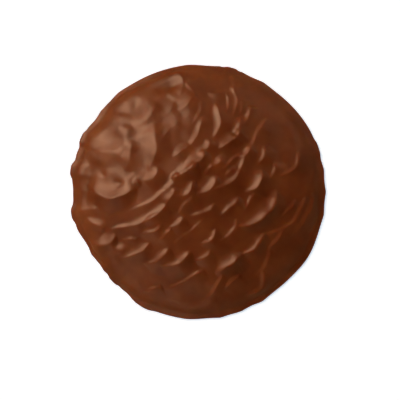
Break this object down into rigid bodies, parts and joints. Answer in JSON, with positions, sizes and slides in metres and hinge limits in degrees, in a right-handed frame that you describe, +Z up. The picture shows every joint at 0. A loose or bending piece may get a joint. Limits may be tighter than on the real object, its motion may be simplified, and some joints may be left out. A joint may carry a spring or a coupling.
{
  "type": "gingerbread cookie",
  "caption": "Round domed gingerbread cookie under a glossy milk chocolate coat blown into overlapping scallop waves, with a thin uneven edge round its flat base.",
  "frame": {"origin": "centre of the flat underside, at the middle of the outline's box", "axes": "+Z up out of the domed top, +X to the right and +Y to the top of the view from above"},
  "size_m": [0.0926, 0.0922, 0.0145],
  "materials": {
    "chocolate_coat": "satin milk chocolate, set with a soft gloss"
  },
  "bodies": {
    "root": {"cookie": "chocolate_coat"}
  },
  "joints": []
}
